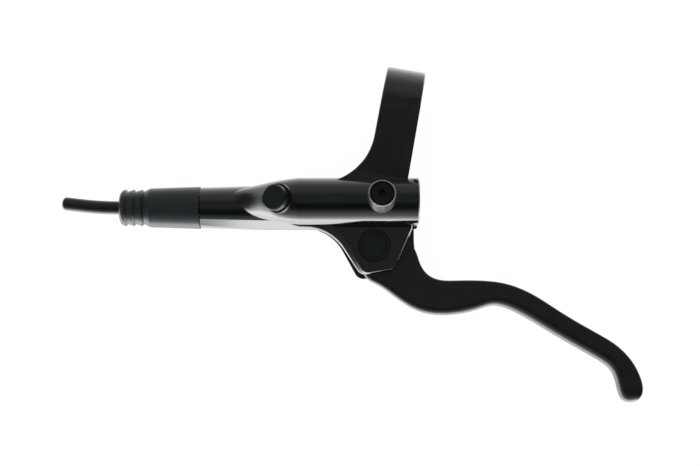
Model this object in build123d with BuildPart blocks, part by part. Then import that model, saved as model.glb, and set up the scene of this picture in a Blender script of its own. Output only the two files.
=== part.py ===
"""Hydraulic bicycle brake lever, with its boot and a sealed stub of hose.

Millimetres. The origin is the centre of the handlebar bore. +X runs along the
handlebar towards the lever tip, +Y points at the rider and +Z points up. The
cylinders lie turned from the handlebar, so most sketches use the plan plane:
its x runs along the cylinders and its y points at the handlebar.
"""

import os
from math import acos, atan2, cos, hypot, pi, radians, sin

from build123d import *

os.makedirs("parts", exist_ok=True)

# Clearances
press_gap = 0.02
running_gap = 0.04
seat_gap = 0.05
slot_gap = 0.2
contact_gap = 0.1
boot_gap = 0.4

# Handlebar clamp
bar_diameter = 22.2
clamp_width = 14.3
clamp_wall = 4.1
clamp_round = 0.8
clamp_slit = 2.4
clamp_bolt_diameter = 6.0
clamp_bolt_drop = 3.8
clamp_bolt_head_diameter = 10.0
clamp_bolt_head_height = 4.0
clamp_bolt_socket = 5.0
clamp_bolt_socket_depth = 2.8
lug_rim = 0.6
lug_front = 7.4
lug_back = 7.0
arm_flare = 21.5
arm_spread = 0.75
arm_flare_reach = 24.0
arm_flare_sink = 2.6
arm_rise = 4.0
arm_floor = 3.0
arm_heel = 8.9
wall_lean = 8.0
arm_step_width = 4.4
arm_step_depth = 0.7

# Master cylinder and reservoir
body_angle = 9.8
bar_to_cylinder = 36.0
cylinder_drop = 6.0
cylinder_bore = 10.0
cylinder_wall = 3.3
body_end = 6.7
body_length = 80.9
neck_wall = 3.6
neck_length = 24.0
flank_lean = 60.0
flank_depth = 0.5
neck_flank_lean = 52.0
neck_flank_depth = 0.2
mouth_length = 19.7
mouth_relief = 0.6
reservoir_rise = 13.0
reservoir_shift = 1.1
reservoir_bore = 11.2
reservoir_wall = 2.95
reservoir_bore_length = 47.2
reservoir_length = 43.7
nose_length = 25.5
nose_tip_diameter = 7.6
nose_tip_sink = 0.7
nose_tip_shift = 0.9
nose_shoulder = 0.23
nose_ease = 1.25
nose_taper = 1.3
nose_sections = 10
web_width = 13.4
end_round = 0.45
timing_port_diameter = 1.0
timing_port_lead = 0.7
feed_port_diameter = 1.8
feed_port_setback = 7.5

# Hose port
port_diameter = 8.0
port_depth = 12.0
port_passage_diameter = 3.0
port_passage_length = 2.2

# Reservoir closure
end_cap_shoulder = 0.7
end_cap_thickness = 3.0
end_cap_recess = 0.8
end_cap_vent_diameter = 1.6
end_cap_rim = 1.2
end_cap_dish = 0.6
bladder_flange = 1.0
bladder_diameter = 8.8
bladder_wall = 0.8
bladder_length = 38.0

# Bleed screw
bleed_setback = 7.0
bleed_lean = 9.0
bleed_boss_diameter = 9.6
bleed_boss_taper = 14.0
bleed_boss_round = 0.25
bleed_boss_height = 2.45
bleed_recess = 1.6
bleed_recess_gap = 0.25
bleed_head_diameter = 8.4
bleed_head_proud = 0.25
bleed_shank_diameter = 5.0
bleed_shank_length = 4.2
bleed_socket = 2.5
bleed_socket_depth = 1.3
screw_seal_section = 0.8
screw_head_bevel = 0.5

# Port plug
plug_setback = 44.65
plug_offset = 0.4
plug_lean = 30.0
plug_seat_drop = 1.85
plug_boss_diameter = 10.8
plug_head_diameter = 9.6
plug_head_height = 3.6
plug_shank_diameter = 5.0
plug_shank_length = 5.0
plug_hole_depth = 10.0
plug_boss_depth = 8.0

# Pivot and ears
pivot_setback = 9.6
pivot_drop = 14.75
ear_thickness = 4.2
# Ear outline from the pivot: its run along the edge of the tube, then its corners
ear_root = 2.0
ear_run_out = -38.0
ear_run_in = -30.0
ear_run_sink = 0.5
ear_left = -16.3
ear_corner = (-5.0, -10.85)
ear_front = (7.7, -8.95)
ear_right = 14.2
lower_ear_lift = 0.6
lower_ear_heel = 0.8
lower_ear_margin = 1.15
ear_corner_radii = (10.0, 17.0, 3.5, 3.0)
# Rim of the ear: how far each corner moves inwards from its foot to the flat face
ear_rim_depth = 3.0
ear_rim_shifts = ((0, 3.4), (1.9, 3.4), (1.2, 0.5), (-0.35, 0.5), (-0.5, 0))
# Shares of height and of inward shift up the round of the rim; a bevel runs on from there
ear_rim_round = ((0.0, 0.0), (0.22, 0.02), (0.4, 0.08), (0.52, 0.18))
ear_edge_round = 0.4
channel_setback = 1.4
pivot_recess_diameter = 12.3
pivot_recess_depth = 2.8
axle_diameter = 5.0
axle_head_diameter = 8.0
axle_head_height = 1.8
axle_socket = 3.0
axle_socket_depth = 1.4
axle_groove_depth = 0.5
axle_end = 0.6
clip_thickness = 0.7
clip_diameter = 8.4
cap_thickness = 1.2
cap_disc_diameter = 8.6
cap_step = 0.7
cap_sink = 0.1
cap_gap = 0.12
cap_skirt_gap = 0.4
bush_wall = 1.0
bush_flange_diameter = 9.4
bush_flange = 0.5

# Lever blade
root_thickness = 6.0
blade_thickness = 8.4
root_front_round = 2.2
blade_front_round = 3.8
blade_back_round = 0.9
# Stations of the blade, from the pivot: along, across, heading and width
blade_stations = (
    (5.05, -4.6, -60.9, 21.05),
    (9.16, -9.77, -58.9, 17.75),
    (14.0, -14.55, -48.0, 14.4),
    (20.2, -18.1, -30.0, 13.7),
    (29.2, -18.95, -9.6, 12.9),
    (38.8, -18.0, -3.9, 10.8),
    (46.1, -17.7, -20.2, 8.9),
    (53.6, -20.05, -32.4, 8.75),
    (66.7, -27.75, -31.6, 8.35),
    (81.6, -36.45, -30.5, 8.3),
    (87.9, -40.5, -37.0, 8.1),
    (91.7, -44.7, -60.6, 8.2),
    (93.8, -49.3, -78.6, 8.9),
    (94.65, -53.3, -84.0, 8.8),
)
tip_angles = (35.0, 60.0, 80.0)

# Reach screw in the arm of the blade
reach_screw_diameter = 4.0
reach_screw_length = 8.5
reach_screw_drop = 1.8
reach_screw_socket = 2.0
reach_screw_socket_depth = 2.5
reach_screw_tip = 3.6

# Hub of the blade and the arm that stands up from it
hub_diameter = 11.6
hub_thickness = 5.9
arm_lap = 2.5
arm_top_wall = 1.2
arm_depth = 6.0
arm_bevel = 2.0
# Outline points from the pivot: round the hub, then down from the arm
hub_outline = ((2.0, -9.5), (-3.4, -8.6), (-5.5, -1.5), (3.1, 5.0))
arm_outline = ((14.8, 6.0), (14.8, 1.6), (15.0, -0.6), (15.5, -2.4), (12.5, -4.0))

# Piston and its rod
piston_length = 21.0
piston_land = 1.2
piston_core_diameter = 6.0
piston_spigot_diameter = 5.0
piston_spigot_length = 2.0
cup_length = 2.2
cup_lip = 0.9
rod_diameter = 4.2
rod_head_diameter = 6.0
rod_head_length = 1.5
rod_socket_depth = 5.0
rod_length = 15.6
stop_washer_thickness = 0.9
cylinder_clip_thickness = 0.8
cylinder_clip_groove = 0.4
cylinder_clip_width = 1.4
wiper_length = 1.4
spring_wire_diameter = 0.9
spring_diameter = 7.2
spring_turns = 5
spring_wire_sides = 6

# Hose and its fittings
hose_diameter = 5.0
hose_bore = 2.4
hose_bent_length = 14.7
hose_bend = 0.85
hose_tail = 7.0
hose_end_round = 1.4
nut_thread_length = 8.5
nut_head_length = 6.0
nut_across_flats = 8.0
nut_hole_gap = 0.1
olive_wall = 0.9
olive_length = 3.3
insert_bore = 1.4
insert_flange = 0.8
insert_length = 8.8

# Hose boot
boot_length = 29.9
boot_end_diameter = 15.8
boot_sleeve_diameter = 14.6
boot_sleeve_length = 18.6
boot_rib_diameter = 13.7
boot_groove_diameter = 12.2
boot_rib_pitch = 3.05
boot_rib_lip = 0.6
boot_nose_bulge = 0.6
boot_ribs = 3
boot_nose_diameter = 8.0
boot_cavity_depth = 8.0
boot_nut_gap = 0.1

# Radii and places that follow from the sizes above
bar_radius = bar_diameter / 2
clamp_radius = bar_radius + clamp_wall
bolt_height = -clamp_radius - clamp_bolt_drop
lug_front_face = clamp_slit / 2 + lug_front
lug_back_face = -clamp_slit / 2 - lug_back
bore_radius = cylinder_bore / 2
cylinder_radius = bore_radius + cylinder_wall
neck_radius = port_diameter / 2 + neck_wall
mouth_radius = bore_radius + mouth_relief
reservoir_radius = reservoir_bore / 2 + reservoir_wall
cap_bore_radius = reservoir_bore / 2 + end_cap_shoulder
hose_radius = hose_diameter / 2
nut_corner_radius = nut_across_flats / 2 / cos(pi / 6)
cylinder_y = -bar_to_cylinder
cylinder_z = -cylinder_drop
reservoir_y = cylinder_y + reservoir_shift
reservoir_z = cylinder_z + reservoir_rise
hose_face = body_end - body_length
bore_floor = hose_face + port_depth + port_passage_length
mouth_floor = body_end - mouth_length
nose_start = body_end - reservoir_length
nose_end = nose_start - nose_length
neck_taper = (cylinder_radius - neck_radius) / neck_length
nose_crown = neck_radius + neck_taper * (nose_end - hose_face) - nose_tip_sink
nose_fall = reservoir_rise - nose_crown + nose_tip_diameter / 2
pivot_x = -pivot_setback
pivot_y = cylinder_y - pivot_drop
slot_height = root_thickness + 2 * slot_gap
ear_top = cylinder_z + slot_height / 2 + ear_thickness
ear_bottom = cylinder_z - slot_height / 2 - ear_thickness
axle_radius = axle_diameter / 2
bush_radius = axle_radius + running_gap + bush_wall
recess_floor = ear_top - pivot_recess_depth
bush_seat = slot_height / 2 - running_gap - bush_flange
rod_tip = pivot_x + reach_screw_tip - contact_gap
piston_rear = rod_tip - rod_length + rod_socket_depth
piston_front = piston_rear - piston_length

# Planes: plan as seen from above, and one along the axis of each cylinder
turn = radians(body_angle)
plan = Plane(origin=(0, 0, 0), x_dir=(cos(turn), sin(turn), 0), z_dir=(0, 0, 1))
cylinder = Plane(
    origin=plan.from_local_coords((0, cylinder_y, cylinder_z)),
    x_dir=plan.x_dir,
    z_dir=plan.z_dir,
)
reservoir = Plane(
    origin=plan.from_local_coords((0, reservoir_y, reservoir_z)),
    x_dir=plan.x_dir,
    z_dir=plan.z_dir,
)
cylinder_axis = Axis(cylinder.origin, cylinder.x_dir)
reservoir_axis = Axis(reservoir.origin, reservoir.x_dir)
pivot = Plane(
    origin=plan.from_local_coords((pivot_x, pivot_y, 0)),
    x_dir=plan.x_dir,
    z_dir=plan.z_dir,
)
pivot_section = Plane(origin=pivot.origin, x_dir=plan.x_dir, z_dir=-plan.y_dir)
pivot_axis = Axis(pivot.origin, pivot.z_dir)
bleed_direction = plan.y_dir * sin(radians(bleed_lean)) + plan.z_dir * cos(radians(bleed_lean))
bleed = Plane(
    origin=reservoir.from_local_coords((-bleed_setback, 0, 0)) + bleed_direction * reservoir_radius,
    x_dir=plan.x_dir,
    z_dir=bleed_direction,
)
plug_direction = plan.z_dir * cos(radians(plug_lean)) - plan.x_dir * sin(radians(plug_lean))
plug = Plane(
    origin=reservoir.from_local_coords((-plug_setback, plug_offset, reservoir_radius - plug_seat_drop)),
    x_dir=plan.y_dir,
    z_dir=plug_direction,
)
bolt = Plane(origin=(0, 0, bolt_height), x_dir=(1, 0, 0), z_dir=(0, -1, 0))
reach = Plane(
    origin=cylinder.from_local_coords((rod_tip + contact_gap, -reach_screw_drop, 0)),
    x_dir=plan.x_dir,
    z_dir=plan.z_dir,
)
reach_axis = Axis(reach.origin, reach.x_dir)


def across(axis_plane, x):
    """Plane square to a cylinder axis at x, its x towards the bar and its y up."""
    return Plane(
        origin=axis_plane.from_local_coords((x, 0, 0)),
        x_dir=axis_plane.y_dir,
        z_dir=axis_plane.x_dir,
    )


def section(plane):
    """Plane that holds the axis of another plane, with that axis as its y."""
    return Plane(origin=plane.origin, x_dir=plane.x_dir, z_dir=-plane.y_dir)


def clamp_lugs():
    """Two lugs under the clamp band, still in one piece before the slit."""
    with BuildPart() as lugs:
        with BuildSketch(bolt.offset(lug_back_face)):
            Circle(clamp_bolt_head_diameter / 2 + lug_rim)
            with Locations((0, -bolt_height - bar_radius)):
                Rectangle(clamp_width - 4 * clamp_round, clamp_wall)
            make_hull()
        extrude(amount=lug_front_face - lug_back_face)
    return lugs.part


def clamp_arm():
    """Clamp band and the arm that carries it, with its flared left edge."""
    half = clamp_width / 2
    side = reservoir_y + reservoir_radius
    root_x = -half - arm_spread
    root_y = (side + root_x * sin(turn)) / cos(turn)
    flare_end = plan.from_local_coords((-half - arm_flare_reach, side - arm_flare_sink, 0))
    left_end = plan.from_local_coords((-half - arm_flare_reach, reservoir_y, 0))
    right_y = (reservoir_y + half * sin(turn)) / cos(turn)
    top_z = reservoir_z + arm_rise
    floor_z = cylinder_z - arm_floor
    # Where the sloping top of the arm touches the band
    lean = atan2(top_z, side) - acos(clamp_radius / hypot(top_z, side))
    touch = (clamp_radius * cos(lean), clamp_radius * sin(lean))
    with BuildPart() as arm:
        # Seen from above
        with BuildSketch(Plane.XY.offset(-clamp_radius)):
            with BuildLine():
                edge = FilletPolyline(
                    (-half, clamp_radius),
                    (root_x, root_y),
                    (flare_end.X, flare_end.Y),
                    radius=arm_flare,
                )
                Polyline(
                    edge @ 1,
                    (left_end.X, left_end.Y),
                    (half, right_y),
                    (half, clamp_radius),
                    edge @ 0,
                )
            make_face()
        extrude(amount=2 * clamp_radius)
        # Seen from the side: the band, and the arm that slopes to the reservoir
        with BuildSketch(Plane.YZ.offset(-2 * arm_flare_reach)):
            Circle(clamp_radius)
            with BuildLine():
                Polyline(
                    touch,
                    (side, top_z),
                    (2 * side, top_z),
                    (2 * side, floor_z),
                    (side, floor_z),
                    (-bar_radius, -arm_heel),
                    (0, 0),
                    close=True,
                )
            make_face()
        extrude(amount=4 * arm_flare_reach, mode=Mode.INTERSECT)
        walls = arm.faces().filter_by(lambda f: abs(f.normal_at().X) > cos(radians(wall_lean)))
        rims = walls.edges().filter_by(Axis.Z, reverse=True)
        fillet(rims.filter_by(lambda e: e.center().Z > 0), clamp_round)
        # Strip along the right edge that lies a little deeper
        with BuildSketch(Plane.YZ.offset(half - arm_step_width)):
            with BuildLine():
                Polyline(
                    (0, clamp_radius - arm_step_depth),
                    (side, top_z - arm_step_depth),
                    (side, 2 * clamp_radius),
                    (-side, 2 * clamp_radius),
                    (-side, 2 * clamp_radius - top_z - arm_step_depth),
                    close=True,
                )
            make_face()
        extrude(amount=2 * arm_step_width, mode=Mode.SUBTRACT)
    return arm.part


def cylinder_outline(radius, lean, depth):
    """Circle with a flat on its upper front flank, for the open sketch."""
    Circle(radius)
    with Locations((-radius * sin(radians(lean)), radius * cos(radians(lean)))):
        Rectangle(2 * radius, 2 * depth, rotation=lean, mode=Mode.SUBTRACT)


def ear_outline(corners):
    """Outline of a pivot ear through its corners, for the open sketch."""
    inside = pivot_drop - ear_root
    with BuildLine() as outline:
        edge = FilletPolyline((ear_run_out, inside), *corners, radius=list(ear_corner_radii))
        Polyline(edge @ 1, (ear_right, inside), edge @ 0)
    make_face(outline.edges())


def ear_block(side, lift, heel, margin):
    """One pivot ear, above or below the slot, whose rim rolls over into a bevel."""
    skirt = pivot_drop - cylinder_radius
    foot = slot_height / 2 + ear_thickness - ear_rim_depth
    corners = (
        Vector(ear_run_in, skirt + ear_run_sink + lift),
        Vector(ear_left, skirt + lift),
        Vector(ear_corner[0] - heel, ear_corner[1] - margin),
        Vector(ear_front[0], ear_front[1] - margin),
        Vector(ear_right, skirt),
    )
    with BuildPart() as block:
        with BuildSketch(pivot.offset(cylinder_z)):
            ear_outline(corners)
        extrude(amount=side * foot)
        for levels in (ear_rim_round, (ear_rim_round[-1], (1, 1))):
            for rise, inward in levels:
                height = foot + ear_rim_depth * rise
                with BuildSketch(pivot.offset(cylinder_z + side * height)):
                    ear_outline([c + Vector(*s) * inward for c, s in zip(corners, ear_rim_shifts)])
            loft()
        rim = block.faces().sort_by(Axis(pivot.origin, pivot.z_dir * side))[-1].edges()
        fillet(rim.sort_by(Axis(pivot.origin, pivot.y_dir))[:-2], ear_edge_round)
    return block.part


with BuildPart() as lever_body:
    # Master cylinder below the reservoir, with a web between the two tubes
    with BuildSketch(across(cylinder, nose_start)):
        cylinder_outline(cylinder_radius, flank_lean, flank_depth)
        with Locations((reservoir_shift, reservoir_rise)):
            Circle(reservoir_radius)
        with Locations((reservoir_shift / 2, reservoir_rise / 2)):
            Rectangle(web_width, reservoir_rise)
    extrude(amount=body_end - nose_start)
    chamfer(lever_body.faces().sort_by(Axis(plan.origin, plan.x_dir))[-1].edges(), end_round)
    # Neck of the cylinder, narrowing to the hose
    with BuildSketch(across(cylinder, hose_face + neck_length)):
        cylinder_outline(cylinder_radius, flank_lean, flank_depth)
    extrude(amount=nose_start - hose_face - neck_length)
    with BuildSketch(across(cylinder, hose_face)):
        cylinder_outline(neck_radius, neck_flank_lean, neck_flank_depth)
    with BuildSketch(across(cylinder, hose_face + neck_length)):
        cylinder_outline(cylinder_radius, flank_lean, flank_depth)
    loft()
    # Nose: the reservoir narrows and runs out along the top of the neck
    for step in range(nose_sections + 1):
        along = step / nose_sections
        rest = 1 - max(along - nose_shoulder, 0) / (1 - nose_shoulder)
        sink = (1 + cos(pi * rest**nose_ease)) / 2
        place = reservoir.from_local_coords(
            (nose_start - nose_length * along, nose_tip_shift * sink, -nose_fall * sink)
        )
        narrowing = (reservoir_radius - nose_tip_diameter / 2) * along**nose_taper
        with BuildSketch(Plane(origin=place, x_dir=plan.y_dir, z_dir=plan.x_dir)):
            Circle(reservoir_radius - narrowing)
    loft()
    # Bosses of the bleed screw and of the port plug
    with BuildSketch(bleed.offset(bleed_boss_height)):
        Circle(bleed_boss_diameter / 2)
    extrude(amount=-reservoir_wall - bleed_boss_height, taper=-bleed_boss_taper)
    fillet(lever_body.faces().sort_by(Axis(bleed.origin, bleed.z_dir))[-1].edges(), bleed_boss_round)
    with BuildSketch(plug):
        Circle(plug_boss_diameter / 2)
    extrude(amount=-plug_boss_depth)
    with BuildSketch(plug):
        Circle(plug_boss_diameter / 2)
    extrude(amount=2 * plug_head_height, mode=Mode.SUBTRACT)
    # Ears, clamp arm and clamp band
    add(ear_block(1, 0, 0, 0))
    add(ear_block(-1, lower_ear_lift, lower_ear_heel, lower_ear_margin))
    add(clamp_arm())
    add(clamp_lugs())
    # Handlebar bore, slit and bolt hole
    with BuildSketch(Plane.YZ.offset(-clamp_width)):
        Circle(bar_radius)
    extrude(amount=2 * clamp_width, mode=Mode.SUBTRACT)
    with BuildSketch(Plane.XY.offset(-bar_radius / 2)):
        Rectangle(2 * clamp_width, clamp_slit)
    extrude(amount=-2 * clamp_radius, mode=Mode.SUBTRACT)
    with BuildSketch(bolt.offset(lug_front_face)):
        Circle(clamp_bolt_diameter / 2 + seat_gap)
    extrude(amount=lug_back_face - lug_front_face, mode=Mode.SUBTRACT)
    # Bore of the master cylinder, its clip groove and the hose port
    with BuildSketch(cylinder):
        with BuildLine():
            Polyline(
                (hose_face, 0),
                (hose_face, port_diameter / 2),
                (hose_face + port_depth, port_diameter / 2),
                (hose_face + port_depth, port_passage_diameter / 2),
                (bore_floor, port_passage_diameter / 2),
                (bore_floor, bore_radius),
                (mouth_floor, bore_radius),
                (mouth_floor, mouth_radius),
                (body_end, mouth_radius),
                (body_end, 0),
                close=True,
            )
        make_face()
    revolve(axis=cylinder_axis, mode=Mode.SUBTRACT)
    with BuildSketch(across(cylinder, piston_rear + stop_washer_thickness)):
        Circle(bore_radius + cylinder_clip_groove)
    extrude(amount=cylinder_clip_thickness, mode=Mode.SUBTRACT)
    # Bore of the reservoir and the seat of its end cap
    with BuildSketch(across(reservoir, body_end)):
        Circle(reservoir_bore / 2)
    extrude(amount=-reservoir_bore_length, mode=Mode.SUBTRACT)
    with BuildSketch(across(reservoir, body_end)):
        Circle(cap_bore_radius)
    extrude(amount=-end_cap_recess - end_cap_thickness - bladder_flange, mode=Mode.SUBTRACT)
    # Ports between the reservoir and the cylinder
    with BuildSketch(cylinder):
        with Locations((piston_front - timing_port_lead, 0)):
            Circle(timing_port_diameter / 2)
        with Locations((piston_front + feed_port_setback, 0)):
            Circle(feed_port_diameter / 2)
    extrude(amount=reservoir_rise, mode=Mode.SUBTRACT)
    # Holes of the bleed screw and of the port plug
    with BuildSketch(bleed.offset(bleed_boss_height)):
        Circle(bleed_head_diameter / 2 + bleed_recess_gap)
    extrude(amount=-bleed_recess, mode=Mode.SUBTRACT)
    with BuildSketch(bleed.offset(bleed_boss_height)):
        Circle(bleed_shank_diameter / 2 + seat_gap)
    extrude(amount=-reservoir_radius, mode=Mode.SUBTRACT)
    with BuildSketch(plug):
        Circle(plug_shank_diameter / 2 + seat_gap)
    extrude(amount=-plug_hole_depth, mode=Mode.SUBTRACT)
    # Slot for the blade, and the channel that lets its arm into the cylinder
    slot_top = pivot_drop - cylinder_radius - seat_gap
    with BuildSketch(pivot.offset(cylinder_z - slot_height / 2)):
        with Locations((0, slot_top)):
            Rectangle(4 * pivot_drop, 2 * pivot_drop, align=(Align.CENTER, Align.MAX))
        with Locations((-channel_setback, pivot_drop)):
            Rectangle(2 * mouth_length, pivot_drop, align=(Align.MIN, Align.MAX))
    extrude(amount=slot_height, mode=Mode.SUBTRACT)
    # Pivot hole, the recess of the cap and the seat of the axle head
    with BuildSketch(pivot.offset(ear_bottom)):
        Circle(axle_radius + press_gap)
    extrude(amount=ear_top - ear_bottom, mode=Mode.SUBTRACT)
    with BuildSketch(pivot.offset(recess_floor)):
        Circle(pivot_recess_diameter / 2)
    extrude(amount=pivot_recess_depth, mode=Mode.SUBTRACT)
    with BuildSketch(pivot.offset(ear_bottom)):
        Circle(axle_head_diameter / 2 + seat_gap)
    extrude(amount=axle_head_height, mode=Mode.SUBTRACT)

lever_body.part.label = "lever_body"
export_step(lever_body.part, "parts/lever_body.step")


with BuildPart() as lever_blade:
    # Blade through its stations, thicker and rounder towards the tip
    growth = len(blade_stations) // 2 - 1
    for number, (along, off, heading, width) in enumerate(blade_stations):
        share = min(max(number - 1, 0) / growth, 1)
        thickness = root_thickness + (blade_thickness - root_thickness) * share
        front = root_front_round + (blade_front_round - root_front_round) * share
        ahead = pivot.x_dir * cos(radians(heading)) + pivot.y_dir * sin(radians(heading))
        place = pivot.from_local_coords((along, off, cylinder_z))
        with BuildSketch(Plane(origin=place, x_dir=pivot.z_dir.cross(ahead), z_dir=ahead)):
            Rectangle(width, thickness)
            fillet(vertices().group_by(Axis.X)[0], front)
            fillet(vertices().group_by(Axis.X)[-1], blade_back_round)
    # Domed tip beyond the last station
    for angle in tip_angles:
        shrink = cos(radians(angle))
        end = place + ahead * (width / 2 * sin(radians(angle)))
        with BuildSketch(Plane(origin=end, x_dir=pivot.z_dir.cross(ahead), z_dir=ahead)):
            Rectangle(width * shrink, thickness * shrink)
            fillet(vertices().group_by(Axis.X)[0], front * shrink)
            fillet(vertices().group_by(Axis.X)[-1], blade_back_round * shrink)
    loft()
    # Hub round the pivot, and the arm that holds the reach screw
    arm_left = reach_screw_tip + arm_lap
    arm_right = reach_screw_tip + reach_screw_length
    arm_top = pivot_drop - reach_screw_drop + reach_screw_diameter / 2 + arm_top_wall
    with BuildSketch(pivot.offset(cylinder_z - hub_thickness / 2)):
        Circle(hub_diameter / 2)
        with BuildLine():
            Polyline(
                *hub_outline,
                (arm_left, arm_top - arm_depth),
                (arm_left, arm_top),
                (arm_right - arm_bevel / 2, arm_top),
                (arm_right + arm_bevel, arm_top - arm_bevel),
                *arm_outline,
                close=True,
            )
        make_face()
    extrude(amount=hub_thickness)
    # Holes for the bushes, their flanges and the reach screw
    with BuildSketch(pivot.offset(cylinder_z - hub_thickness / 2)):
        Circle(bush_radius + press_gap)
    extrude(amount=hub_thickness, mode=Mode.SUBTRACT)
    for side in (-1, 1):
        with BuildSketch(pivot.offset(cylinder_z + side * bush_seat)):
            Circle(bush_flange_diameter / 2 + seat_gap)
        extrude(amount=side * slot_height, mode=Mode.SUBTRACT)
    with BuildSketch(across(reach, 0)):
        Circle(reach_screw_diameter / 2 + running_gap)
    extrude(amount=2 * reach_screw_length, mode=Mode.SUBTRACT)

lever_blade.part.label = "lever_blade"
export_step(lever_blade.part, "parts/lever_blade.step")


def pivot_bush(side):
    """Flanged bush in one face of the blade's hub."""
    face = cylinder_z + side * (slot_height / 2 - running_gap)
    seat = cylinder_z + side * bush_seat
    inner = cylinder_z + side * running_gap
    with BuildPart() as bush:
        with BuildSketch(pivot_section):
            with BuildLine():
                Polyline(
                    (axle_radius + running_gap, face),
                    (bush_flange_diameter / 2, face),
                    (bush_flange_diameter / 2, seat),
                    (bush_radius, seat),
                    (bush_radius, inner),
                    (axle_radius + running_gap, inner),
                    close=True,
                )
            make_face()
        revolve(axis=pivot_axis)
    return bush.part


with BuildPart() as pivot_bush_upper:
    add(pivot_bush(1))

pivot_bush_upper.part.label = "pivot_bush_upper"
export_step(pivot_bush_upper.part, "parts/pivot_bush_upper.step")


with BuildPart() as pivot_bush_lower:
    add(pivot_bush(-1))

pivot_bush_lower.part.label = "pivot_bush_lower"
export_step(pivot_bush_lower.part, "parts/pivot_bush_lower.step")


with BuildPart() as pivot_axle:
    clip_top = recess_floor + clip_thickness
    with BuildSketch(pivot_section):
        with BuildLine():
            Polyline(
                (0, ear_bottom),
                (axle_head_diameter / 2, ear_bottom),
                (axle_head_diameter / 2, ear_bottom + axle_head_height),
                (axle_radius, ear_bottom + axle_head_height),
                (axle_radius, recess_floor),
                (axle_radius - axle_groove_depth, recess_floor),
                (axle_radius - axle_groove_depth, clip_top),
                (axle_radius, clip_top),
                (axle_radius, clip_top + axle_end),
                (0, clip_top + axle_end),
                close=True,
            )
        make_face()
    revolve(axis=pivot_axis)
    with BuildSketch(pivot.offset(ear_bottom)):
        RegularPolygon(axle_socket / 2, 6, major_radius=False)
    extrude(amount=axle_socket_depth, mode=Mode.SUBTRACT)

pivot_axle.part.label = "pivot_axle"
export_step(pivot_axle.part, "parts/pivot_axle.step")


with BuildPart() as pivot_clip:
    with BuildSketch(pivot.offset(recess_floor)):
        Circle(clip_diameter / 2)
        Circle(axle_radius - axle_groove_depth, mode=Mode.SUBTRACT)
        Rectangle(
            clip_diameter,
            axle_diameter - 4 * axle_groove_depth,
            align=(Align.MIN, Align.CENTER),
            mode=Mode.SUBTRACT,
        )
    extrude(amount=clip_thickness)

pivot_clip.part.label = "pivot_clip"
export_step(pivot_clip.part, "parts/pivot_clip.step")


with BuildPart() as pivot_cap:
    cap_top = ear_top - cap_sink
    cap_radius = pivot_recess_diameter / 2 - cap_gap
    skirt_radius = clip_diameter / 2 + cap_skirt_gap
    with BuildSketch(pivot_section):
        with BuildLine():
            Polyline(
                (0, cap_top - cap_thickness),
                (skirt_radius, cap_top - cap_thickness),
                (skirt_radius, recess_floor),
                (cap_radius, recess_floor),
                (cap_radius, cap_top - cap_step),
                (cap_disc_diameter / 2, cap_top - cap_step),
                (cap_disc_diameter / 2, cap_top),
                (0, cap_top),
                close=True,
            )
        make_face()
    revolve(axis=pivot_axis)

pivot_cap.part.label = "pivot_cap"
export_step(pivot_cap.part, "parts/pivot_cap.step")


with BuildPart() as reach_screw:
    screw_radius = reach_screw_diameter / 2
    with BuildSketch(reach):
        with BuildLine():
            ThreePointArc(
                (0, 0),
                (screw_radius * (1 - cos(pi / 4)), screw_radius * sin(pi / 4)),
                (screw_radius, screw_radius),
            )
            Polyline(
                (screw_radius, screw_radius),
                (reach_screw_length, screw_radius),
                (reach_screw_length, 0),
                (0, 0),
            )
        make_face()
    revolve(axis=reach_axis)
    with BuildSketch(across(reach, reach_screw_length)):
        RegularPolygon(reach_screw_socket / 2, 6, major_radius=False)
    extrude(amount=-reach_screw_socket_depth, mode=Mode.SUBTRACT)

reach_screw.part.label = "reach_screw"
export_step(reach_screw.part, "parts/reach_screw.step")


with BuildPart() as push_rod:
    rod_radius = rod_diameter / 2
    rod_end = rod_tip - rod_length
    with BuildSketch(cylinder):
        with BuildLine():
            Polyline(
                (rod_end, 0),
                (rod_tip, 0),
                (rod_tip, rod_head_diameter / 2),
                (rod_tip - rod_head_length, rod_head_diameter / 2),
                (rod_tip - rod_head_length, rod_radius),
                (rod_end + rod_radius, rod_radius),
            )
            ThreePointArc(
                (rod_end + rod_radius, rod_radius),
                (rod_end + rod_radius * (1 - cos(pi / 4)), rod_radius * sin(pi / 4)),
                (rod_end, 0),
            )
        make_face()
    revolve(axis=cylinder_axis)

push_rod.part.label = "push_rod"
export_step(push_rod.part, "parts/push_rod.step")


# Grooves of the two cups, from the lands at the ends of the piston
front_cup = piston_front + piston_land
rear_cup = piston_rear - piston_land - cup_length
land_radius = bore_radius - running_gap
core_radius = piston_core_diameter / 2

with BuildPart() as master_piston:
    with BuildSketch(cylinder):
        with BuildLine():
            Polyline(
                (piston_front - piston_spigot_length, 0),
                (piston_front - piston_spigot_length, piston_spigot_diameter / 2),
                (piston_front, piston_spigot_diameter / 2),
                (piston_front, land_radius),
                (front_cup, land_radius),
                (front_cup, core_radius),
                (front_cup + cup_length, core_radius),
                (front_cup + cup_length, land_radius),
                (front_cup + cup_length + piston_land, land_radius),
                (front_cup + cup_length + piston_land, core_radius),
                (rear_cup - piston_land, core_radius),
                (rear_cup - piston_land, land_radius),
                (rear_cup, land_radius),
                (rear_cup, core_radius),
                (rear_cup + cup_length, core_radius),
                (rear_cup + cup_length, land_radius),
                (piston_rear, land_radius),
                (piston_rear, rod_radius + seat_gap),
                (piston_rear - rod_socket_depth, rod_radius + seat_gap),
                (piston_rear - rod_socket_depth, 0),
                close=True,
            )
        make_face()
    revolve(axis=cylinder_axis)

master_piston.part.label = "master_piston"
export_step(master_piston.part, "parts/master_piston.step")


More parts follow.
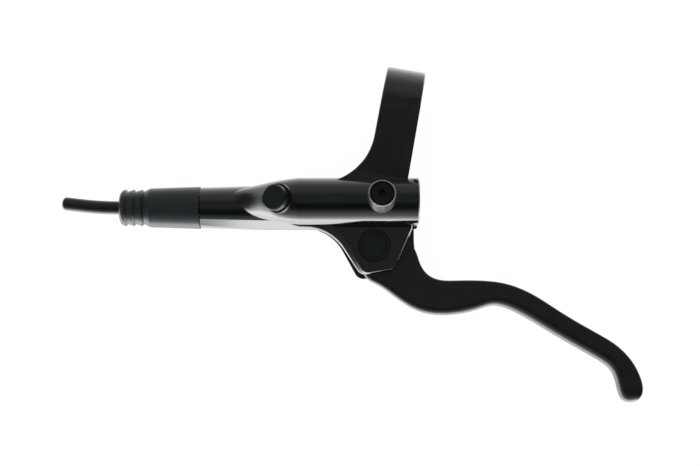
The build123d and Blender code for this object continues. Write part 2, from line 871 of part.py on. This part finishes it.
def piston_cup(start):
    """Lip seal in a piston groove, its open side towards the hose."""
    heel = start + cup_length - seat_gap
    with BuildPart() as cup:
        with BuildSketch(cylinder):
            with BuildLine():
                Polyline(
                    (start + seat_gap, core_radius + press_gap),
                    (heel, core_radius + press_gap),
                    (heel, land_radius),
                    (start + seat_gap, land_radius),
                    (start + seat_gap, land_radius - cup_lip / 2),
                    (heel - cup_lip, (land_radius + core_radius) / 2),
                    (start + seat_gap, core_radius + cup_lip / 2),
                    close=True,
                )
            make_face()
        revolve(axis=cylinder_axis)
    return cup.part


with BuildPart() as primary_cup:
    add(piston_cup(front_cup))

primary_cup.part.label = "primary_cup"
export_step(primary_cup.part, "parts/primary_cup.step")


with BuildPart() as secondary_cup:
    add(piston_cup(rear_cup))

secondary_cup.part.label = "secondary_cup"
export_step(secondary_cup.part, "parts/secondary_cup.step")


with BuildPart() as return_spring:
    wire_radius = spring_wire_diameter / 2
    spring_start = bore_floor + wire_radius
    spring_height = piston_front - wire_radius - spring_start
    with BuildLine():
        coil = Helix(
            pitch=spring_height / spring_turns,
            height=spring_height,
            radius=spring_diameter / 2,
            center=cylinder.from_local_coords((spring_start, 0, 0)),
            direction=cylinder.x_dir,
        )
    with BuildSketch(Plane(origin=coil @ 0, z_dir=coil % 0)):
        RegularPolygon(wire_radius, spring_wire_sides)
    sweep(path=coil, is_frenet=True)

return_spring.part.label = "return_spring"
export_step(return_spring.part, "parts/return_spring.step")


with BuildPart() as stop_washer:
    with BuildSketch(across(cylinder, piston_rear)):
        Circle(bore_radius - seat_gap)
        Circle(rod_radius + contact_gap, mode=Mode.SUBTRACT)
    extrude(amount=stop_washer_thickness)

stop_washer.part.label = "stop_washer"
export_step(stop_washer.part, "parts/stop_washer.step")


with BuildPart() as cylinder_clip:
    with BuildSketch(across(cylinder, piston_rear + stop_washer_thickness)):
        Circle(bore_radius + cylinder_clip_groove - seat_gap)
        Circle(bore_radius - cylinder_clip_width, mode=Mode.SUBTRACT)
        Rectangle(
            cylinder_bore,
            cylinder_clip_width,
            align=(Align.MIN, Align.CENTER),
            mode=Mode.SUBTRACT,
        )
    extrude(amount=cylinder_clip_thickness)

cylinder_clip.part.label = "cylinder_clip"
export_step(cylinder_clip.part, "parts/cylinder_clip.step")


with BuildPart() as rod_wiper:
    clip_end = piston_rear + stop_washer_thickness + cylinder_clip_thickness
    with BuildSketch(across(cylinder, clip_end)):
        Circle(bore_radius - seat_gap)
        Circle(rod_radius + running_gap, mode=Mode.SUBTRACT)
    extrude(amount=wiper_length)

rod_wiper.part.label = "rod_wiper"
export_step(rod_wiper.part, "parts/rod_wiper.step")


with BuildPart() as bleed_screw:
    recess = bleed_boss_height - bleed_recess
    head_top = bleed_boss_height + bleed_head_proud
    with BuildSketch(section(bleed)):
        with BuildLine():
            Polyline(
                (0, recess - bleed_shank_length),
                (bleed_shank_diameter / 2, recess - bleed_shank_length),
                (bleed_shank_diameter / 2, recess + screw_seal_section),
                (bleed_head_diameter / 2, recess + screw_seal_section),
                (bleed_head_diameter / 2, head_top - screw_head_bevel),
                (bleed_head_diameter / 2 - screw_head_bevel, head_top),
                (0, head_top),
                close=True,
            )
        make_face()
    revolve(axis=Axis(bleed.origin, bleed.z_dir))
    with BuildSketch(bleed.offset(head_top)):
        RegularPolygon(bleed_socket / 2, 6, major_radius=False)
    extrude(amount=-bleed_socket_depth, mode=Mode.SUBTRACT)

bleed_screw.part.label = "bleed_screw"
export_step(bleed_screw.part, "parts/bleed_screw.step")


with BuildPart() as bleed_screw_seal:
    with BuildSketch(section(bleed)):
        with Locations((bleed_shank_diameter / 2 + press_gap, recess)):
            Rectangle(screw_seal_section, screw_seal_section, align=(Align.MIN, Align.MIN))
    revolve(axis=Axis(bleed.origin, bleed.z_dir))

bleed_screw_seal.part.label = "bleed_screw_seal"
export_step(bleed_screw_seal.part, "parts/bleed_screw_seal.step")


with BuildPart() as port_plug:
    groove_radius = plug_shank_diameter / 2 + screw_seal_section + 2 * press_gap
    with BuildSketch(section(plug)):
        with BuildLine():
            Polyline(
                (0, -plug_shank_length),
                (plug_shank_diameter / 2, -plug_shank_length),
                (plug_shank_diameter / 2, screw_seal_section),
                (groove_radius, screw_seal_section),
                (groove_radius, 0),
                (plug_head_diameter / 2, 0),
                (plug_head_diameter / 2, plug_head_height - screw_head_bevel),
                (plug_head_diameter / 2 - screw_head_bevel, plug_head_height),
                (0, plug_head_height),
                close=True,
            )
        make_face()
    revolve(axis=Axis(plug.origin, plug.z_dir))

port_plug.part.label = "port_plug"
export_step(port_plug.part, "parts/port_plug.step")


with BuildPart() as port_plug_seal:
    with BuildSketch(section(plug)):
        with Locations((plug_shank_diameter / 2 + press_gap, 0)):
            Rectangle(screw_seal_section, screw_seal_section, align=(Align.MIN, Align.MIN))
    revolve(axis=Axis(plug.origin, plug.z_dir))

port_plug_seal.part.label = "port_plug_seal"
export_step(port_plug_seal.part, "parts/port_plug_seal.step")


# Face between the end cap and the flange of the bladder
cap_face = body_end - end_cap_recess - end_cap_thickness

with BuildPart() as reservoir_end_cap:
    with BuildSketch(across(reservoir, cap_face)):
        Circle(cap_bore_radius - press_gap)
        Circle(end_cap_vent_diameter / 2, mode=Mode.SUBTRACT)
    extrude(amount=end_cap_thickness)
    with BuildSketch(across(reservoir, cap_face + end_cap_thickness)):
        Circle(cap_bore_radius - end_cap_rim)
    extrude(amount=-end_cap_dish, mode=Mode.SUBTRACT)

reservoir_end_cap.part.label = "reservoir_end_cap"
export_step(reservoir_end_cap.part, "parts/reservoir_end_cap.step")


with BuildPart() as reservoir_bladder:
    flange_face = cap_face - bladder_flange
    bladder_end = flange_face - bladder_length
    bladder_outer = bladder_diameter / 2
    bladder_inner = bladder_outer - bladder_wall
    with BuildSketch(reservoir):
        with BuildLine():
            Polyline(
                (bladder_end, 0),
                (bladder_end, bladder_outer - bladder_wall),
                (bladder_end + bladder_wall, bladder_outer),
                (flange_face, bladder_outer),
                (flange_face, cap_bore_radius - seat_gap),
                (cap_face, cap_bore_radius - seat_gap),
                (cap_face, bladder_inner),
                (bladder_end + bladder_wall, bladder_inner),
                (bladder_end + bladder_wall, 0),
                close=True,
            )
        make_face()
    revolve(axis=reservoir_axis)

reservoir_bladder.part.label = "reservoir_bladder"
export_step(reservoir_bladder.part, "parts/reservoir_bladder.step")


with BuildPart() as clamp_bolt:
    head_face = lug_front_face + clamp_bolt_head_height
    with BuildSketch(section(bolt)):
        with BuildLine():
            Polyline(
                (0, lug_back_face),
                (clamp_bolt_diameter / 2, lug_back_face),
                (clamp_bolt_diameter / 2, lug_front_face),
                (clamp_bolt_head_diameter / 2, lug_front_face),
                (clamp_bolt_head_diameter / 2, head_face - screw_head_bevel),
                (clamp_bolt_head_diameter / 2 - screw_head_bevel, head_face),
                (0, head_face),
                close=True,
            )
        make_face()
    revolve(axis=Axis(bolt.origin, bolt.z_dir))
    with BuildSketch(bolt.offset(head_face)):
        RegularPolygon(clamp_bolt_socket / 2, 6, major_radius=False)
    extrude(amount=-clamp_bolt_socket_depth, mode=Mode.SUBTRACT)

clamp_bolt.part.label = "clamp_bolt"
export_step(clamp_bolt.part, "parts/clamp_bolt.step")


with BuildPart() as hose_nut:
    with BuildSketch(across(cylinder, hose_face)):
        Circle(port_diameter / 2 - seat_gap)
    extrude(amount=nut_thread_length)
    with BuildSketch(across(cylinder, hose_face)):
        RegularPolygon(nut_across_flats / 2, 6, major_radius=False)
    extrude(amount=-nut_head_length)
    with BuildSketch(across(cylinder, hose_face - nut_head_length)):
        Circle(hose_radius + nut_hole_gap)
    extrude(amount=nut_head_length + nut_thread_length, mode=Mode.SUBTRACT)

hose_nut.part.label = "hose_nut"
export_step(hose_nut.part, "parts/hose_nut.step")


with BuildPart() as olive:
    olive_start = hose_face + nut_thread_length
    olive_inner = hose_radius + press_gap
    with BuildSketch(cylinder):
        with BuildLine():
            Polyline(
                (olive_start, olive_inner),
                (olive_start, olive_inner + olive_wall / 2),
                (olive_start + olive_length / 3, olive_inner + olive_wall),
                (olive_start + olive_length * 2 / 3, olive_inner + olive_wall),
                (olive_start + olive_length, olive_inner + olive_wall / 2),
                (olive_start + olive_length, olive_inner),
                close=True,
            )
        make_face()
    revolve(axis=cylinder_axis)

olive.part.label = "olive"
export_step(olive.part, "parts/olive.step")


# Inner end of the hose, behind the flange of its insert
hose_start = hose_face + port_depth - insert_flange - seat_gap

with BuildPart() as hose_insert:
    with BuildSketch(across(cylinder, hose_start)):
        Circle(hose_radius - seat_gap)
    extrude(amount=insert_flange)
    with BuildSketch(across(cylinder, hose_start)):
        Circle(hose_bore / 2 - press_gap)
    extrude(amount=-insert_length)
    with BuildSketch(across(cylinder, hose_start - insert_length)):
        Circle(insert_bore / 2)
    extrude(amount=insert_length + insert_flange, mode=Mode.SUBTRACT)

hose_insert.part.label = "hose_insert"
export_step(hose_insert.part, "parts/hose_insert.step")


# The boot covers the hose up to its nose, beyond which the hose bends and runs straight
boot_end = hose_face - boot_gap
boot_nose = boot_end - boot_length

with BuildPart() as hose_stub:
    with BuildLine(cylinder):
        straight = Line((hose_start, 0), (boot_nose, 0))
        bend_end = (boot_nose - hose_bent_length, hose_bend)
        bend = TangentArc(straight @ 1, bend_end, tangent=straight % 1)
        Line(bend @ 1, bend @ 1 + (bend % 1) * hose_tail)
    with BuildSketch(across(cylinder, hose_start)):
        Circle(hose_radius)
    sweep()
    tip = hose_stub.faces().sort_by(Axis(plan.origin, plan.x_dir))[0]
    fillet(tip.edges(), hose_end_round)
    with BuildSketch(across(cylinder, hose_start)):
        Circle(hose_bore / 2)
    extrude(amount=boot_nose - hose_start, mode=Mode.SUBTRACT)

hose_stub.part.label = "hose_stub"
export_step(hose_stub.part, "parts/hose_stub.step")


with BuildPart() as hose_boot:
    # Outline from the nose over the saw-tooth ribs to the widening sleeve
    rib_start = boot_end - boot_sleeve_length - boot_ribs * boot_rib_pitch
    rib_radius = boot_rib_diameter / 2
    nose_radius = boot_nose_diameter / 2
    nose_middle = (boot_nose + rib_start) / 2 - boot_nose_bulge
    ridges = []
    for rib in range(boot_ribs):
        crest = rib_start + rib * boot_rib_pitch
        ridges.append((crest, rib_radius))
        ridges.append((crest + boot_rib_lip, boot_groove_diameter / 2))
    with BuildSketch(cylinder):
        with BuildLine():
            nose_curve = ThreePointArc(
                (boot_nose, nose_radius),
                (nose_middle, (nose_radius + rib_radius) / 2 + boot_nose_bulge),
                (rib_start, rib_radius),
            )
            Polyline(
                nose_curve @ 1,
                *ridges[1:],
                (boot_end - boot_sleeve_length, boot_sleeve_diameter / 2),
                (boot_end, boot_end_diameter / 2),
                (boot_end, nut_corner_radius + boot_nut_gap),
                (boot_end - boot_cavity_depth, nut_corner_radius + boot_nut_gap),
                (boot_end - boot_cavity_depth, hose_radius + seat_gap),
                (boot_nose, hose_radius + seat_gap),
                nose_curve @ 0,
            )
        make_face()
    revolve(axis=cylinder_axis)

hose_boot.part.label = "hose_boot"
export_step(hose_boot.part, "parts/hose_boot.step")
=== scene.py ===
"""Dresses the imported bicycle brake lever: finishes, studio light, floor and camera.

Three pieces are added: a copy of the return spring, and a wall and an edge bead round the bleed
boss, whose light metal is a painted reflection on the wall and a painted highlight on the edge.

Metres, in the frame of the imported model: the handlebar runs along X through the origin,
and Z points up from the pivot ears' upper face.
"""

from math import cos, radians, sin, tan, tau

import bpy
from mathutils import Matrix, Vector


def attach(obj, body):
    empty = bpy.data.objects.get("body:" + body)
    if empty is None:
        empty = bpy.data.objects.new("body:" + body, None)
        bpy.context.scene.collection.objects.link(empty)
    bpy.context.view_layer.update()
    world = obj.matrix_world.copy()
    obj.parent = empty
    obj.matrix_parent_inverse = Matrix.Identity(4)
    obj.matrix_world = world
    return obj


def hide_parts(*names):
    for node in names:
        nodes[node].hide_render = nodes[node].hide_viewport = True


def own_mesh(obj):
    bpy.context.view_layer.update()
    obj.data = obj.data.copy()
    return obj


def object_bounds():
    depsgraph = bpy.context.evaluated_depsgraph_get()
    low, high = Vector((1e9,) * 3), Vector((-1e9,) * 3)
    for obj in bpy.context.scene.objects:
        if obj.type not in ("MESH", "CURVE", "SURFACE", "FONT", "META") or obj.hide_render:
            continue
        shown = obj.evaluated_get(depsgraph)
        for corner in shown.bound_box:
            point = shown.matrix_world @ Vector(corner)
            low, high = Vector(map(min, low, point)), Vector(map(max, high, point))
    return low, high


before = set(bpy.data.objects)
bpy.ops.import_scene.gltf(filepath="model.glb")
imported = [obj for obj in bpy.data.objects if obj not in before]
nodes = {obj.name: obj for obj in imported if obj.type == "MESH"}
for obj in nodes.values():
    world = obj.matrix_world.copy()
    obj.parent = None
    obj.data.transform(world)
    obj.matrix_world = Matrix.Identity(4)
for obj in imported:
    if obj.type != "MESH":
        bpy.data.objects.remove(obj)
cad_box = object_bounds()
scene = bpy.context.scene
scene.view_settings.view_transform = "Standard"

MM = 0.001

# The lever is turned a little on the handlebar: its own right and back directions.
plan_turn = radians(9.8)
right = Vector((cos(plan_turn), sin(plan_turn), 0))
back = Vector((-sin(plan_turn), cos(plan_turn), 0))
up = Vector((0, 0, 1))

# Camera: nearly straight down on the ears, leaning towards the blade.
camera_target = (-18.56 * right - 45.96 * back) * MM
camera_distance = 550 * MM
camera_lean = radians(5)
camera_angle = radians(26.5)
sensor_width = 36.0

# Bleed boss: it leans back, and its top lies a little below the top of the screw's head
bleed_lean = radians(9)
bleed_proud = 0.25 * MM
# Radius and height over the boss's top in mm, round the section of its wall; the wall's light metal
# is a painted reflection
wall_section = (
    (4.55, 0.0), (4.62, 0.05), (4.74, 0.06), (4.83, 0.01),
    (4.9, -0.12), (4.95, -0.3), (6.04, -4.7), (4.6, -4.7),
)
# The same for the bead on its edge, whose bright metal is a painted highlight
edge_radius = 4.74
edge_bead = 0.22
edge_sides = 12
edge_turns = [tau * side / edge_sides for side in range(edge_sides)]
edge_section = [
    (edge_radius + edge_bead * cos(turn), -edge_bead * sin(turn)) for turn in edge_turns
]
rim_steps = 96
rim_crease = radians(40)

# Floor: its greys and its glow in camera rays, and how much light it throws back
floor_margin = 0.2 * MM
floor_half = 4.0
floor_glow = 0.95
floor_greys = (0.1, 0.11)
floor_grain = 40.0
floor_bounce = (0.8, 0.8, 0.8, 1)

# Light. Diffuse rays meet an even soft box; mirror rays meet a graded room,
# with a bright front and a dim back.
ambient = 0.6
key_power = 1.3
key_size = 0.6
key_place = Vector((-0.25, -0.35, 0.5))
front_strength = 4.0
back_strength = 1.2
front_edge = (-0.2, 0.45)
# Brightness of the room by elevation in degrees, ahead of the lever and behind it
front_levels = (
    (-90, 0.2), (-65, 0.35), (-41, 0.62), (-25, 1.0), (-20, 0.95), (-15, 0.6), (-3, 0.32),
    (11, 0.13), (24, 0.085), (36, 0.035), (46, 0.004), (62, 0.0), (75, 0.006), (90, 0.02),
)
back_levels = (
    (-90, 0.5), (-60, 0.85), (-43, 0.85), (-22, 0.57), (-5, 0.42), (10, 0.25), (24, 0.19),
    (36, 0.18), (48, 0.15), (53, 0.125), (60, 0.085), (70, 0.065), (90, 0.075),
)
# The room is dimmer to the left and right, above the table
side_edge = (0.4, 0.85)
side_rise = (-0.2, 0.1)
side_dim = 0.7

# Noise of the finishes: the part of its range that is used, and its scales
noise_span = (0.3, 0.7)
drift_scale = 150.0
smear_scale = 260.0
smear_twist = 0.6


def node(tree, kind, **inputs):
    """A shader node with its named input sockets set, or linked where a socket is given."""
    made = tree.nodes.new("ShaderNode" + kind)
    for name, value in inputs.items():
        socket = made.inputs[name.replace("_", " ")]
        if isinstance(value, bpy.types.NodeSocket):
            tree.links.new(value, socket)
        else:
            socket.default_value = value
    return made


def ramp(tree, factor, stops):
    """A colour ramp through (position, grey or colour) stops."""
    made = tree.nodes.new("ShaderNodeValToRGB")
    elements = made.color_ramp.elements
    while len(elements) < len(stops):
        elements.new(1.0)
    for element, (position, colour) in zip(elements, stops):
        element.position = position
        grey = (colour,) * 3 if isinstance(colour, float) else colour
        element.color = (*grey, 1.0)
    tree.links.new(factor, made.inputs["Fac"])
    return made.outputs["Color"]


def noise_stops(colours):
    """Ramp stops that put two colours at the ends of the noise's used range."""
    return list(zip(noise_span, colours))


def height_stops(levels):
    """Ramp stops from (elevation in degrees, brightness) pairs."""
    return [((sin(radians(angle)) + 1) / 2, level) for angle, level in levels]


def calculate(tree, operation, *values):
    """The result of a math node on sockets or numbers."""
    made = tree.nodes.new("ShaderNodeMath")
    made.operation = operation
    for socket, value in zip(made.inputs, values):
        if isinstance(value, bpy.types.NodeSocket):
            tree.links.new(value, socket)
        else:
            socket.default_value = value
    return made.outputs["Value"]


def along(tree, direction, axis):
    """How far a direction points along an axis, from -1 to 1."""
    made = tree.nodes.new("ShaderNodeVectorMath")
    made.operation = "DOT_PRODUCT"
    tree.links.new(direction, made.inputs[0])
    made.inputs[1].default_value = axis
    return made.outputs["Value"]


def smooth(tree, value, edge):
    """A soft step from 0 to 1 between the two values of edge."""
    made = node(tree, "MapRange", Value=value, From_Min=edge[0], From_Max=edge[1])
    made.interpolation_type = "SMOOTHSTEP"
    return made.outputs["Result"]


def mix(tree, share, first, second):
    """One shader that goes over into another."""
    made = node(tree, "MixShader", Fac=share)
    tree.links.new(first, made.inputs[1])
    tree.links.new(second, made.inputs[2])
    return made.outputs[0]


def studio_world():
    world = bpy.data.worlds.new("studio")
    scene.world = world
    world.use_nodes = True
    world.cycles.sampling_method = "NONE"
    tree = world.node_tree
    tree.nodes.clear()
    direction = node(tree, "TexCoord").outputs["Generated"]
    height = node(tree, "SeparateXYZ", Vector=direction).outputs["Z"]
    level = node(tree, "MapRange", Value=height, From_Min=-1.0).outputs["Result"]
    front = smooth(tree, along(tree, direction, -back), front_edge)
    front_light = node(tree, "Background", Color=ramp(tree, level, height_stops(front_levels)),
                       Strength=front_strength).outputs[0]
    back_light = node(tree, "Background", Color=ramp(tree, level, height_stops(back_levels)),
                      Strength=back_strength).outputs[0]
    aside = calculate(tree, "ABSOLUTE", along(tree, direction, right))
    aside = smooth(tree, aside, side_edge)
    above = smooth(tree, height, side_rise)
    side = calculate(tree, "MULTIPLY", calculate(tree, "MULTIPLY", aside, above), side_dim)
    dark = node(tree, "Background", Color=(0, 0, 0, 1)).outputs[0]
    room = mix(tree, side, mix(tree, front, back_light, front_light), dark)
    soft = node(tree, "Background", Color=(1, 1, 1, 1), Strength=ambient).outputs[0]
    white = node(tree, "Background", Color=(1, 1, 1, 1), Strength=1.0).outputs[0]
    path = node(tree, "LightPath").outputs
    seen = calculate(tree, "MAXIMUM", path["Is Camera Ray"], path["Is Transmission Ray"])
    plain = mix(tree, seen, soft, white)
    node(tree, "OutputWorld", Surface=mix(tree, path["Is Glossy Ray"], plain, room))


def studio_floor():
    mesh = bpy.data.meshes.new("floor")
    z = cad_box[0].z - floor_margin
    corners = [(x * floor_half, y * floor_half, z) for x, y in ((-1, -1), (1, -1), (1, 1), (-1, 1))]
    mesh.from_pydata(corners, [], [(0, 1, 2, 3)])
    floor = bpy.data.objects.new("floor", mesh)
    scene.collection.objects.link(floor)
    floor.visible_glossy = False
    material = bpy.data.materials.new("floor_white")
    material.use_nodes = True
    tree = material.node_tree
    tree.nodes.clear()
    coords = node(tree, "TexCoord").outputs["Object"]
    grain = node(tree, "TexNoise", Vector=coords, Scale=floor_grain).outputs["Fac"]
    shaded = node(tree, "BsdfDiffuse", Color=ramp(tree, grain, noise_stops(floor_greys)))
    bounce = node(tree, "BsdfDiffuse", Color=floor_bounce).outputs[0]
    glow = node(tree, "Emission", Color=(1, 1, 1, 1), Strength=floor_glow)
    seen = tree.nodes.new("ShaderNodeAddShader")
    tree.links.new(shaded.outputs[0], seen.inputs[0])
    tree.links.new(glow.outputs[0], seen.inputs[1])
    camera_ray = node(tree, "LightPath").outputs["Is Camera Ray"]
    node(tree, "OutputMaterial", Surface=mix(tree, camera_ray, bounce, seen.outputs[0]))
    mesh.materials.append(material)


def key_light():
    lamp = bpy.data.lights.new("key", "AREA")
    lamp.energy = key_power
    lamp.size = key_size
    key = bpy.data.objects.new("key", lamp)
    key.location = key_place
    key.rotation_mode = "QUATERNION"
    key.rotation_quaternion = (camera_target - key_place).to_track_quat("-Z", "Y")
    key.visible_glossy = False
    key.visible_camera = False
    scene.collection.objects.link(key)


def camera():
    data = bpy.data.cameras.new("camera")
    data.sensor_fit = "HORIZONTAL"
    data.sensor_width = sensor_width
    data.lens = sensor_width / 2 / tan(camera_angle / 2)
    data.clip_start = 0.01
    made = bpy.data.objects.new("camera", data)
    towards = -sin(camera_lean) * back + cos(camera_lean) * up
    upward = cos(camera_lean) * back + sin(camera_lean) * up
    turn = Matrix((right, upward, towards)).transposed().to_4x4()
    made.matrix_world = Matrix.Translation(camera_target + camera_distance * towards) @ turn
    scene.collection.objects.link(made)
    scene.camera = made


def finish_material(name, dark, light, rough, grain, bump, **shader_values):
    """A principled finish whose colour, roughness and relief vary.

    dark and light: the two colours it drifts between; rough: lowest and highest roughness;
    grain: size of the relief in mm; bump: height of the relief in mm.
    """
    material = bpy.data.materials.new(name)
    material.use_nodes = True
    tree = material.node_tree
    tree.nodes.clear()
    coords = node(tree, "TexCoord").outputs["Object"]
    drift = node(tree, "TexNoise", Vector=coords, Scale=drift_scale, Detail=4.0).outputs["Fac"]
    colour = ramp(tree, drift, noise_stops((dark, light)))
    smears = node(tree, "TexNoise", Vector=coords, Scale=smear_scale, Detail=5.0,
                  Distortion=smear_twist).outputs["Fac"]
    roughness = node(tree, "MapRange", Value=smears, From_Min=noise_span[0], From_Max=noise_span[1],
                     To_Min=rough[0], To_Max=rough[1]).outputs["Result"]
    grains = 1 / (grain * MM)
    relief = node(tree, "TexNoise", Vector=coords, Scale=grains, Detail=3.0).outputs["Fac"]
    normal = node(tree, "Bump", Height=relief, Strength=1.0, Distance=bump * MM).outputs["Normal"]
    shader = node(tree, "BsdfPrincipled", Base_Color=colour, Roughness=roughness, Normal=normal)
    for key, value in shader_values.items():
        shader.inputs[key.replace("_", " ")].default_value = value
    node(tree, "OutputMaterial", Surface=shader.outputs[0])
    return material


def compressing_spring():
    """A copy of the return spring on the body, with a mesh of its own; the rigid solid is hidden.
    """
    solid = nodes["return_spring"]
    coil = bpy.data.objects.new("return_spring_coil", solid.data.copy())
    scene.collection.objects.link(coil)
    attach(coil, "body")
    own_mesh(coil)
    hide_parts("return_spring")


def boss_ring(name, section, material):
    """A closed ring round the bleed boss, centred on the screw."""
    axis = sin(bleed_lean) * back + cos(bleed_lean) * up
    across = axis.cross(right)
    points = [vertex.co for vertex in nodes["bleed_screw"].data.vertices]
    centre = Vector((0, 0, 0))
    for way in (right, across):
        places = [point.dot(way) for point in points]
        centre += way * (min(places) + max(places)) / 2
    centre += axis * (max(point.dot(axis) for point in points) - bleed_proud)
    vertices = []
    for step in range(rim_steps):
        outward = cos(tau * step / rim_steps) * right + sin(tau * step / rim_steps) * across
        vertices += [centre + (radius * outward + height * axis) * MM for radius, height in section]
    sides = len(section)
    faces = []
    for step in range(rim_steps):
        ahead = (step + 1) % rim_steps
        for side in range(sides):
            following = (side + 1) % sides
            corners = ((step, following), (ahead, following), (ahead, side), (step, side))
            faces.append([ring * sides + place for ring, place in corners])
    mesh = bpy.data.meshes.new(name)
    mesh.from_pydata(vertices, [], faces)
    mesh.shade_smooth()
    mesh.set_sharp_from_angle(angle=rim_crease)
    mesh.materials.append(material)
    rim = bpy.data.objects.new(name, mesh)
    scene.collection.objects.link(rim)
    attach(rim, "body")


body_paint = finish_material(
    "body_paint", (0.003, 0.0059, 0.0048), (0.0042, 0.0075, 0.0063), (0.12, 0.18),
    grain=1.4, bump=0.001,
    IOR=1.55, Coat_Weight=1.0, Coat_Roughness=0.08, Coat_IOR=1.75,
)
blade_paint = finish_material(
    "blade_paint", (0.0066, 0.0086, 0.0082), (0.0085, 0.0108, 0.0103), (0.24, 0.32),
    grain=0.9, bump=0.001,
    IOR=1.5, Coat_Weight=0.6, Coat_Roughness=0.2, Coat_IOR=1.6,
)
black_steel = finish_material(
    "black_steel", (0.006, 0.006, 0.0064), (0.011, 0.011, 0.0115), (0.34, 0.46),
    grain=0.5, bump=0.002,
    Metallic=0.3,
)
bright_steel = finish_material(
    "bright_steel", (0.52, 0.52, 0.54), (0.62, 0.62, 0.63), (0.2, 0.34),
    grain=0.4, bump=0.0015,
    Metallic=1.0,
)
black_plastic = finish_material(
    "black_plastic", (0.0065, 0.0107, 0.0094), (0.0085, 0.0132, 0.0119), (0.26, 0.34),
    grain=0.35, bump=0.002,
)
bush_plastic = finish_material(
    "bush_plastic", (0.62, 0.61, 0.56), (0.7, 0.69, 0.64), (0.4, 0.5),
    grain=0.4, bump=0.003,
)
piston_alloy = finish_material(
    "piston_alloy", (0.55, 0.55, 0.57), (0.64, 0.64, 0.66), (0.26, 0.36),
    grain=0.4, bump=0.0015,
    Metallic=1.0,
)
seal_rubber = finish_material(
    "seal_rubber", (0.012, 0.012, 0.012), (0.02, 0.02, 0.02), (0.5, 0.62),
    grain=0.4, bump=0.004,
)
boot_rubber = finish_material(
    "boot_rubber", (0.0132, 0.017, 0.0192), (0.0158, 0.02, 0.0226), (0.3, 0.38),
    grain=0.3, bump=0.003,
    Coat_Weight=0.4, Coat_Roughness=0.24, Coat_IOR=1.6,
)
hose_plastic = finish_material(
    "hose_plastic", (0.006, 0.0088, 0.01), (0.008, 0.0114, 0.013), (0.2, 0.28),
    grain=0.6, bump=0.002,
    Coat_Weight=0.6, Coat_Roughness=0.16, Coat_IOR=1.6,
)
fitting_brass = finish_material(
    "fitting_brass", (0.62, 0.46, 0.2), (0.74, 0.57, 0.28), (0.24, 0.36),
    grain=0.4, bump=0.0015,
    Metallic=1.0,
)
# Painted reflection: the light metal of the bleed boss's wall stands in for the floor seen in its
# black paint
boss_wall_painted_reflection = finish_material(
    "boss_wall_painted_reflection", (0.1, 0.105, 0.105), (0.14, 0.145, 0.145), (0.32, 0.4),
    grain=0.3, bump=0.001,
    Metallic=0.7,
)
# Painted highlight: the bright metal bead on the bleed boss's edge stands in for light caught by
# its black paint
boss_edge_painted_highlight = finish_material(
    "boss_edge_painted_highlight", (0.62, 0.63, 0.64), (0.72, 0.73, 0.74), (0.24, 0.32),
    grain=0.3, bump=0.001,
    Metallic=0.85,
)

finishes = {
    body_paint: ("lever_body",),
    blade_paint: ("lever_blade",),
    black_steel: ("clamp_bolt", "pivot_axle", "bleed_screw", "reach_screw", "hose_nut"),
    bright_steel: ("pivot_clip", "cylinder_clip", "push_rod", "return_spring", "stop_washer"),
    black_plastic: ("pivot_cap", "port_plug", "reservoir_end_cap"),
    bush_plastic: ("pivot_bush_upper", "pivot_bush_lower"),
    piston_alloy: ("master_piston",),
    seal_rubber: ("bleed_screw_seal", "port_plug_seal", "reservoir_bladder", "rod_wiper",
                  "primary_cup", "secondary_cup"),
    boot_rubber: ("hose_boot",),
    hose_plastic: ("hose_stub",),
    fitting_brass: ("olive", "hose_insert"),
}
for material, names in finishes.items():
    for name in names:
        nodes[name].data.materials.clear()
        nodes[name].data.materials.append(material)

compressing_spring()
boss_ring("bleed_boss_wall", wall_section, boss_wall_painted_reflection)
boss_ring("bleed_boss_edge", edge_section, boss_edge_painted_highlight)
studio_world()
studio_floor()
key_light()
camera()
